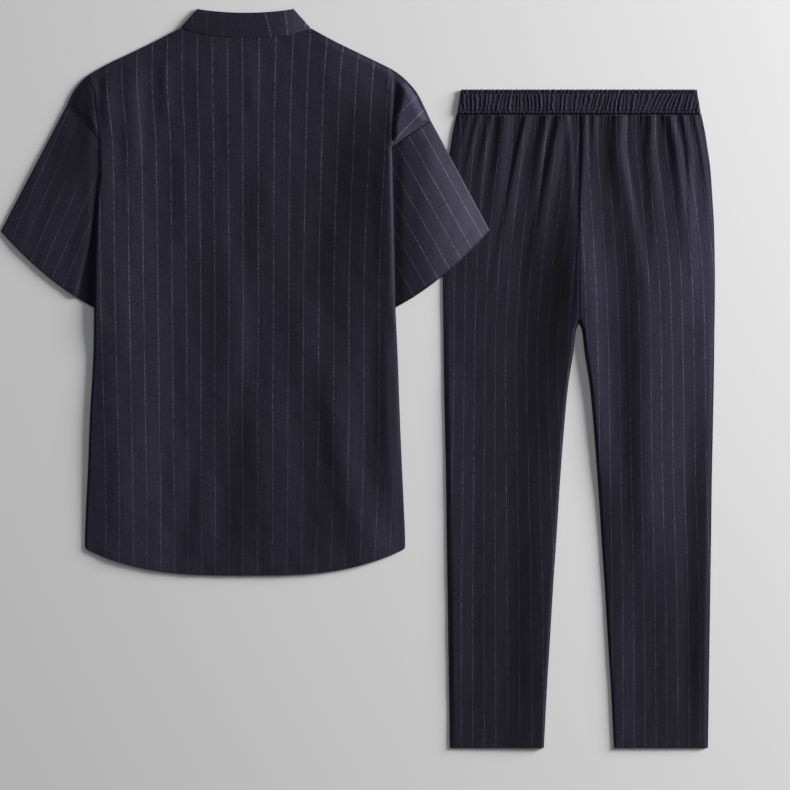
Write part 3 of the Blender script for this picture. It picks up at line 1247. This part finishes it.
def make_trouser_front(name, side):
    """A front lies under everything, so its outer surface faces the floor."""
    shares = spaced(WAIST_SHARE, 1.0, LEG_UNDER_MESH[0], ((1.0, 0.004, 5), (0.05, 0.03, 3)))
    outer, inner = leg_edges(shares)
    inner = np.where(inner > SEAM_GAP, inner + UNDER_EDGE, inner)
    across = spread(side * inner, side * (outer - UNDER_EDGE), LEG_UNDER_MESH[1], 0.0025)
    down = in_rows(shares, across) * TROUSER_LENGTH
    below_band = down - WAIST_SHARE * TROUSER_LENGTH
    phase = seam_phase(across) * 0.6
    fade = np.exp(-((below_band / (0.045 + 0.025 * np.sin(np.floor(phase) * 2.3))) ** 2))
    height = UNDER_GATHER * wave(phase) * fade + stitched(TROUSER_LENGTH - down, HEM_STITCH)
    points = on_trousers(across, down, height)
    grain = np.stack(((across - side * UNDER_STRIPE_SHIFT) / UNDER_STRIPE_PITCH + 0.5, down), axis=-1)
    return shell(name, points, grain, faces_down=True), points


def make_waistband():
    """The casing on its elastic: a flattened ring whose gathers lean and bend."""
    dense = ((0.0, 0.05, 2), (BAND_BEAD, 0.05, 2), (1.0, 0.05, 2))
    rise = spaced(0.0, 1.0, BAND_MESH[0], dense)[:, None]
    share = spaced(-1.0, 1.0, BAND_MESH[1], ((-1.0, 0.004, 4), (1.0, 0.004, 4)))[None, :]
    half = blend(BAND_TOP_WIDTH, BAND_SEAM_WIDTH, rise) * WAIST_HALF_WIDTH - 0.0003
    down = blend(BAND_START, BAND_HEIGHT, rise)
    lean = blend(*BAND_LEANS, passed(share, -0.55, 0.85)) + 0.10 * np.sin(9.0 * share + 1.0)
    phase = band_phase(np.clip(share - lean * (1.0 - rise) * BAND_HEIGHT / half, -1.0, 1.0))
    phase += 0.10 * np.sin(6.3 * rise + 14.0 * share) + 0.06 * np.sin(17.0 * rise + 40.0 * share)
    number = np.floor(phase + 0.5)

    # Gathers in its middle, a frill along its top, and a bead of stitched cloth along its seam
    uneven = 0.74 + 0.30 * np.sin(2.3 * number) + 0.22 * np.sin(5.9 * number + 5.0 * rise)
    ridge = wave(phase) ** 1.6
    fine = wave(2.0 * phase + 0.30 * np.sin(1.9 * number) + 0.5 * rise)
    body = passed(rise, 0.15, 0.22) * passed(rise, BAND_BEAD + 0.030, BAND_BEAD - 0.020)
    frilled = wave(1.15 * phase + 0.7 * rise + 0.3 * np.sin(1.7 * phase))
    frill = hump((rise - 0.065) / 0.090)
    beaded = wave(1.2 * phase + 1.4 * rise + 0.2 * np.sin(2.9 * phase))
    bead = hump((rise - (BAND_BEAD + 1.0) / 2) / ((1.0 - BAND_BEAD) / 2))
    height = BAND_GATHER_HEIGHT * (uneven * ridge + BAND_FINE * fine) * body
    height += BAND_FRILL * frill * frilled + BEAD_HEIGHT * bead * (0.25 + 0.75 * beaded)
    upper = BAND_LEVEL + 0.0003 * body + height - 0.7 * rounded(down - BAND_START, BAND_TURN)
    under = 0.0004 * ridge * body

    # It closes at its two ends, and is pinched at its top and at its seam
    opening = 1.0 - closed_share(half * (1.0 - np.abs(share)), BAND_CLOSES)
    opening = opening * (1.0 - BAND_PINCH * closed_share(BAND_HEIGHT * rise, BAND_TOP_CLOSES))
    from_seam = BAND_HEIGHT * (1.0 - rise)
    opening = opening * (1.0 - BAND_PINCH * closed_share(from_seam, BAND_SEAM_CLOSES))
    middle = (upper + under) / 2
    scallop = BAND_SCALLOP * (frilled - 0.4) * hump(rise / 0.12)
    across = share * half
    top_points = on_trousers(across, down - scallop, blend(middle, upper, opening))
    ring = ringed(top_points, on_trousers(across, down, blend(middle, under, opening)), 6)
    grain = np.stack((phase / 2.6 + 0.3, np.broadcast_to(down, phase.shape)), axis=-1)
    parting = hump((rise - 0.170) / 0.035)
    tone = 0.95 + 0.25 * ridge * body + 1.8 * frill * (frilled - 0.42) - 0.45 * parting
    tone += 0.5 * bead * (beaded - 0.3)
    tone = ringed(tone, np.ones_like(tone), 6)
    return shell("waistband_cloth", ring, ringed(grain, grain, 6), tone, closed=True, shown=0.5), ring


# Stitches and buttons

def at_lengths(path, along, places):
    """Points of a path at some lengths along it."""
    return np.stack([np.interp(places, along, path[:, i]) for i in range(3)], axis=-1)


def line_inside(points, distance):
    """A line across a shell, a distance from its last row."""
    order = points[::-1]
    along = lengths_along(order)
    return np.array([at_lengths(order[:, j], along[:, j], distance) for j in range(order.shape[1])])


def stitch_line(path, length=STITCH_LENGTH, gap=STITCH_GAP, lift=0.0):
    """The middles, directions and length of the stitches along a path of points."""
    along = lengths_along(path)
    count = max(1, int(along[-1] / (length + gap)))
    middles = (np.arange(count) + 0.5) * along[-1] / count
    place = at_lengths(path, along, middles) + np.array((0.0, 0.0, lift))
    way = at_lengths(path, along, middles + 0.0008) - at_lengths(path, along, middles - 0.0008)
    return place, way / np.linalg.norm(way, axis=1)[:, None], length


def make_stitches(name, lines):
    """Every stitch as a short thread that dips in at both ends, joined into one mesh."""
    profile = ((-0.5, 0.15), (-0.34, 0.8), (0.0, 1.0), (0.34, 0.8), (0.5, 0.15))
    sides = 6
    points = []
    quads = []
    for places, ways, length in lines:
        for middle, ahead in zip(places, ways):
            aside = np.cross(ahead, (0.0, 0.0, 1.0))
            aside = aside / np.linalg.norm(aside)
            up = np.cross(aside, ahead)
            first = len(points)
            for share, swell in profile:
                centre = middle + ahead * share * length + up * (swell - 1.0) * THREAD * 0.6
                for k in range(sides):
                    turn = 2 * math.pi * k / sides
                    ring = aside * math.cos(turn) + up * math.sin(turn)
                    points.append(centre + ring * swell * THREAD / 2)
            for row in range(len(profile) - 1):
                for k in range(sides):
                    a = first + row * sides + k
                    b = first + row * sides + (k + 1) % sides
                    quads.append((a, b, b + sides, a + sides))
            quads.append(tuple(first + k for k in range(sides))[::-1])
            quads.append(tuple(first + (len(profile) - 1) * sides + k for k in range(sides)))
    return add_piece(name, [tuple(point) for point in points], quads, thread)


def make_button(number):
    """A round button with a rim, a dished middle and four holes, face down on the floor."""
    name = f"button_disc_{number + 1}"
    low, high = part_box(f"button_{number + 1}")
    middle = (low + high) / 2
    thick = high.z - low.z
    mesh = bmesh.new()
    rings = []
    for out, up in BUTTON_PROFILE:
        ring = []
        for k in range(BUTTON_SIDES if out else 1):
            turn = 2 * math.pi * k / BUTTON_SIDES
            x = middle.x + BUTTON_RADIUS * out * math.cos(turn)
            y = middle.y + BUTTON_RADIUS * out * math.sin(turn)
            ring.append(mesh.verts.new((x, y, low.z + up * thick)))
        rings.append(ring)
    for inner, outer in zip(rings, rings[1:]):
        for k in range(BUTTON_SIDES):
            j = (k + 1) % BUTTON_SIDES
            corners = [ring[i % len(ring)] for ring, i in ((inner, k), (inner, j), (outer, j), (outer, k))]
            mesh.faces.new(tuple(dict.fromkeys(corners)))
    bmesh.ops.recalc_face_normals(mesh, faces=mesh.faces)
    piece = add_piece(name, [], [], horn)
    mesh.to_mesh(piece.data)
    mesh.free()
    piece.data.polygons.foreach_set("use_smooth", np.ones(len(piece.data.polygons), bool))
    bore_holes(piece, middle, low.z + thick / 2, thick * 3)
    return piece, middle, low.z + BUTTON_DISH * thick


def bore_holes(piece, middle, level, depth):
    """Cuts four holes through a button and leaves the mesh plain."""
    mesh = bmesh.new()
    for x in (-1, 1):
        for y in (-1, 1):
            made = bmesh.ops.create_cone(
                mesh, cap_ends=True, segments=14, radius1=HOLE_RADIUS, radius2=HOLE_RADIUS, depth=depth
            )
            shift = (middle.x + x * HOLE_OUT, middle.y + y * HOLE_OUT, level)
            bmesh.ops.translate(mesh, verts=made["verts"], vec=shift)
    cutter = add_piece("holes", [], [], horn)
    mesh.to_mesh(cutter.data)
    mesh.free()
    cut = piece.modifiers.new("Holes", "BOOLEAN")
    cut.operation = "DIFFERENCE"
    cut.object = cutter
    cut.solver = "EXACT"
    bpy.context.view_layer.update()
    shape = piece.evaluated_get(bpy.context.evaluated_depsgraph_get())
    piece.data = bpy.data.meshes.new_from_object(shape)
    piece.modifiers.clear()
    bpy.data.objects.remove(cutter)


# Materials: each node joins the tree of its first input

def feed(node, values):
    """Sets each named input of a node, or links it where its value comes from another node."""
    for name, value in values.items():
        if isinstance(value, bpy.types.NodeSocket):
            node.id_data.links.new(value, node.inputs[name])
        else:
            node.inputs[name].default_value = value


def new_material(name):
    material = bpy.data.materials.new(name)
    material.use_nodes = True
    return material, material.node_tree.nodes["Principled BSDF"]


def new_node(near, kind, values):
    node = near.id_data.nodes.new(kind)
    feed(node, values)
    return node


def maths(operation, *values):
    node = new_node(values[0], "ShaderNodeMath", dict(enumerate(values)))
    node.operation = operation
    return node.outputs[0]


def weighted(*parts):
    """The sum of values, each times its weight."""
    total, *rest = [maths("MULTIPLY", value, weight) for value, weight in parts]
    for part in rest:
        total = maths("ADD", total, part)
    return total


def spread_noise(x, y, x_scale, y_scale, detail=2.0):
    """Noise over the cloth, stretched to its own scale across and along."""
    scaled = {0: maths("MULTIPLY", x, x_scale), 1: maths("MULTIPLY", y, y_scale)}
    place = new_node(x, "ShaderNodeCombineXYZ", scaled)
    noise = new_node(x, "ShaderNodeTexNoise", {})
    noise.noise_dimensions = "2D"
    feed(noise, {"Vector": place.outputs[0], "Scale": 1.0, "Detail": detail})
    return noise.outputs["Fac"]


def ranged(value, low, high, to_low=0.0, to_high=1.0):
    limits = {"Value": value, "From Min": low, "From Max": high, "To Min": to_low, "To Max": to_high}
    node = new_node(value, "ShaderNodeMapRange", limits)
    node.interpolation_type = "SMOOTHSTEP"
    return node.outputs["Result"]


def mixed(share, first, second):
    node = new_node(share, "ShaderNodeMix", {})
    node.data_type = "RGBA"
    feed(node, {"Factor": share, "A": first, "B": second})
    return node.outputs["Result"]


def painted(shader, name):
    """The value that each point of the cloth carries under a name."""
    node = new_node(shader, "ShaderNodeAttribute", {})
    node.attribute_name = name
    return node.outputs["Fac"]


def object_noise(shader, values):
    place = new_node(shader, "ShaderNodeTexCoord", {})
    noise = new_node(shader, "ShaderNodeTexNoise", {"Vector": place.outputs["Object"], **values})
    return noise.outputs["Fac"]


def stripe_pattern(shader, stripes, along):
    """Where a stripe shows, from 0 to 1: its yarn wanders a little, and shows and sinks."""
    number = maths("ROUND", stripes)
    wander = maths("MULTIPLY_ADD", spread_noise(number, along, 3.7, 90.0), 0.0006, -0.0003)
    off = maths("SUBTRACT", stripes, number)
    aside = maths("ABSOLUTE", maths("MULTIPLY_ADD", off, STRIPE_PITCH, wander))
    line = ranged(aside, STRIPE_WIDTH * 0.30, STRIPE_WIDTH * 0.75, 1.0, 0.0)
    dashes = ranged(spread_noise(number, along, 5.3, 330.0, 1.0), 0.36, 0.62)
    slow = ranged(spread_noise(number, along, 7.9, 22.0, 2.0), 0.25, 0.70, 0.35, 1.0)
    shown = maths("MULTIPLY_ADD", maths("MULTIPLY", dashes, slow), 0.75, 0.18)
    return maths("MULTIPLY", line, maths("MULTIPLY", shown, painted(shader, "stripes shown")))


def make_cloth():
    """Dark suiting: a fine twill with slub, and thin pale stripes."""
    material, shader = new_material("Striped suiting")
    place = new_node(shader, "ShaderNodeUVMap", {})
    place.uv_map = "grain"
    parts = new_node(shader, "ShaderNodeSeparateXYZ", {0: place.outputs["UV"]})
    stripes, along = parts.outputs[0], parts.outputs[1]
    across = maths("MULTIPLY", stripes, STRIPE_PITCH)
    stripe = stripe_pattern(shader, stripes, along)

    threads = spread_noise(across, along, 900.0, 150.0, 2.0)
    picks = spread_noise(across, along, 200.0, 1100.0, 2.0)
    cloudy = spread_noise(across, along, 320.0, 240.0, 3.0)
    streaks = spread_noise(across, along, 620.0, 11.0, 1.0)
    slub = weighted((threads, 0.5), (picks, 0.5))
    mottle = weighted((slub, 0.40), (cloudy, 0.35), (streaks, 0.25))
    ground = mixed(ranged(mottle, 0.34, 0.66), CLOTH_DARK, CLOTH_LIGHT)
    coloured = mixed(stripe, ground, STRIPE_COLOUR)
    tone = painted(shader, "tone")
    greyed = mixed(ranged(tone, 1.1, 3.2, 0.0, 0.45), coloured, CLOTH_GREY)
    lightened = new_node(shader, "ShaderNodeVectorMath", {})
    lightened.operation = "SCALE"
    feed(lightened, {0: greyed, "Scale": tone})

    twill = maths("SINE", maths("MULTIPLY", maths("ADD", across, along), 2 * math.pi / TWILL_PITCH))
    weave = maths("ADD", maths("MULTIPLY", twill, 0.35), slub)
    raised = maths("ADD", weave, maths("MULTIPLY", stripe, 0.6))
    relief = {"Strength": WEAVE_STRENGTH, "Distance": WEAVE_DEPTH, "Height": raised}
    bump = new_node(shader, "ShaderNodeBump", relief)
    feed(shader, {
        "Base Color": lightened.outputs[0],
        "Normal": bump.outputs[0],
        "Roughness": ranged(slub, 0.3, 0.7, 0.80, 0.92),
        "Specular IOR Level": 0.12,
        "Sheen Weight": 0.03,
        "Sheen Roughness": 0.45,
        "Sheen Tint": (0.75, 0.77, 1.0, 1.0),
    })
    return material


def make_thread():
    material, shader = new_material("Sewing thread")
    colour = mixed(object_noise(shader, {"Scale": 900.0}), *THREAD_COLOURS)
    feed(shader, {"Base Color": colour, "Roughness": 0.75, "Specular IOR Level": 0.2})
    return material


def make_horn():
    material, shader = new_material("Dark horn")
    noise = object_noise(shader, {"Scale": 260.0, "Detail": 4.0, "Distortion": 1.4})
    colour = mixed(ranged(noise, 0.40, 0.65), *HORN_COLOURS)
    feed(shader, {"Base Color": colour, "Roughness": ranged(noise, 0.3, 0.7, 0.28, 0.42)})
    return material


# Floor, light and camera

def make_floor():
    material, shader = new_material("Pale floor")
    feed(shader, {"Base Color": FLOOR_COLOUR, "Roughness": 0.9, "Specular IOR Level": 0.1})
    round_it = ((-1, -1), (1, -1), (1, 1), (-1, 1))
    corners = [(x * FLOOR_REACH, y * FLOOR_REACH, FLOOR_LEVEL) for x, y in round_it]
    return add_piece("floor", corners, [(0, 1, 2, 3)], material)


def area_light(name, azimuth, elevation, distance, size, power, colour):
    """A soft square light that faces the middle of the frame. Azimuth 0 is +X and 90 is +Y."""
    data = bpy.data.lights.new(name, "AREA")
    data.shape = "SQUARE"
    data.size = size
    data.energy = power
    data.color = colour
    light = bpy.data.objects.new(name, data)
    turn, climb = math.radians(azimuth), math.radians(elevation)
    way = np.array((math.cos(turn) * math.cos(climb), math.sin(turn) * math.cos(climb), math.sin(climb)))
    light.location = way * distance + np.array((*FRAME_MIDDLE, 0.0))
    light.rotation_euler = (math.pi / 2 - climb, 0.0, turn + math.pi / 2)
    bpy.context.scene.collection.objects.link(light)


def make_studio():
    scene = bpy.context.scene
    scene.world = bpy.data.worlds.new("Studio")
    scene.world.use_nodes = True
    background = scene.world.node_tree.nodes["Background"]
    feed(background, {"Color": WORLD_COLOUR, "Strength": WORLD_STRENGTH})
    for light in LIGHTS:
        area_light(*light)
    camera_data = bpy.data.cameras.new("Camera")
    camera_data.sensor_width = SENSOR
    camera_data.lens = SENSOR * CAMERA_HEIGHT / (FRAME_PIXELS * PIXEL)
    camera = bpy.data.objects.new("Camera", camera_data)
    camera.location = (*FRAME_MIDDLE, CAMERA_HEIGHT)
    scene.collection.objects.link(camera)
    scene.camera = camera
    scene.view_settings.view_transform = "Standard"
    scene.view_settings.look = "None"


# The whole suit

cloth = make_cloth()
thread = make_thread()
horn = make_horn()
make_floor()

# Each piece of cloth with its points and the name of its solid
Cloth = namedtuple("Cloth", "piece points node closed", defaults=(False,))
BOTH = ((-1, "left"), (1, "right"))
back, back_points = make_shirt_back()
cloths = [Cloth(back, back_points, "shirt_back")]
hems = [(back_points, HEM_STITCH)]
cuffs = []
for side, word in BOTH:
    cloths.append(Cloth(*make_shirt_front(f"front_cloth_{word}", side), f"shirt_front_{word}"))
for sleeve, (side, word) in zip((LEFT_SLEEVE, RIGHT_SLEEVE), BOTH):
    piece, ring, upper = make_sleeve(f"sleeve_cloth_{word}", sleeve)
    cloths.append(Cloth(piece, ring, f"sleeve_{word}", True))
    cuffs.append((upper, CUFF_STITCH))
cloths.append(Cloth(*make_collar(), "collar"))
for side, word in BOTH:
    piece, points = make_trouser_back(f"leg_cloth_{word}", side)
    cloths.append(Cloth(piece, points, f"trouser_back_{word}"))
    hems.append((points, HEM_STITCH))
for side, word in BOTH:
    cloths.append(Cloth(*make_trouser_front(f"leg_under_{word}", side), f"trouser_front_{word}"))
cloths.append(Cloth(*make_waistband(), "waistband", True))

lines = [stitch_line(line_inside(points, inset)[3:-3], lift=STITCH_LIFT) for points, inset in hems + cuffs]
stitches = make_stitches("hem_stitches", lines)

buttons = [make_button(number) for number in range(BUTTON_COUNT)]
crosses = []
for piece, middle, level in buttons:
    for sign in (-1, 1):
        shift = np.array((HOLE_OUT, sign * HOLE_OUT, 0.0))
        place = np.array((middle.x, middle.y, level - CROSS_SUNK))
        ends = np.array((place - shift, place + shift))
        crosses.append(stitch_line(ends, length=CROSS_LENGTH, gap=0.0))
button_thread = make_stitches("button_thread", crosses)

for item in cloths:
    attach(item.piece, "root")
    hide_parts(item.node)
for number, (piece, *_) in enumerate(buttons):
    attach(piece, "root")
    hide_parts(f"button_{number + 1}")
for piece in (stitches, button_thread):
    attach(piece, "root")

make_studio()
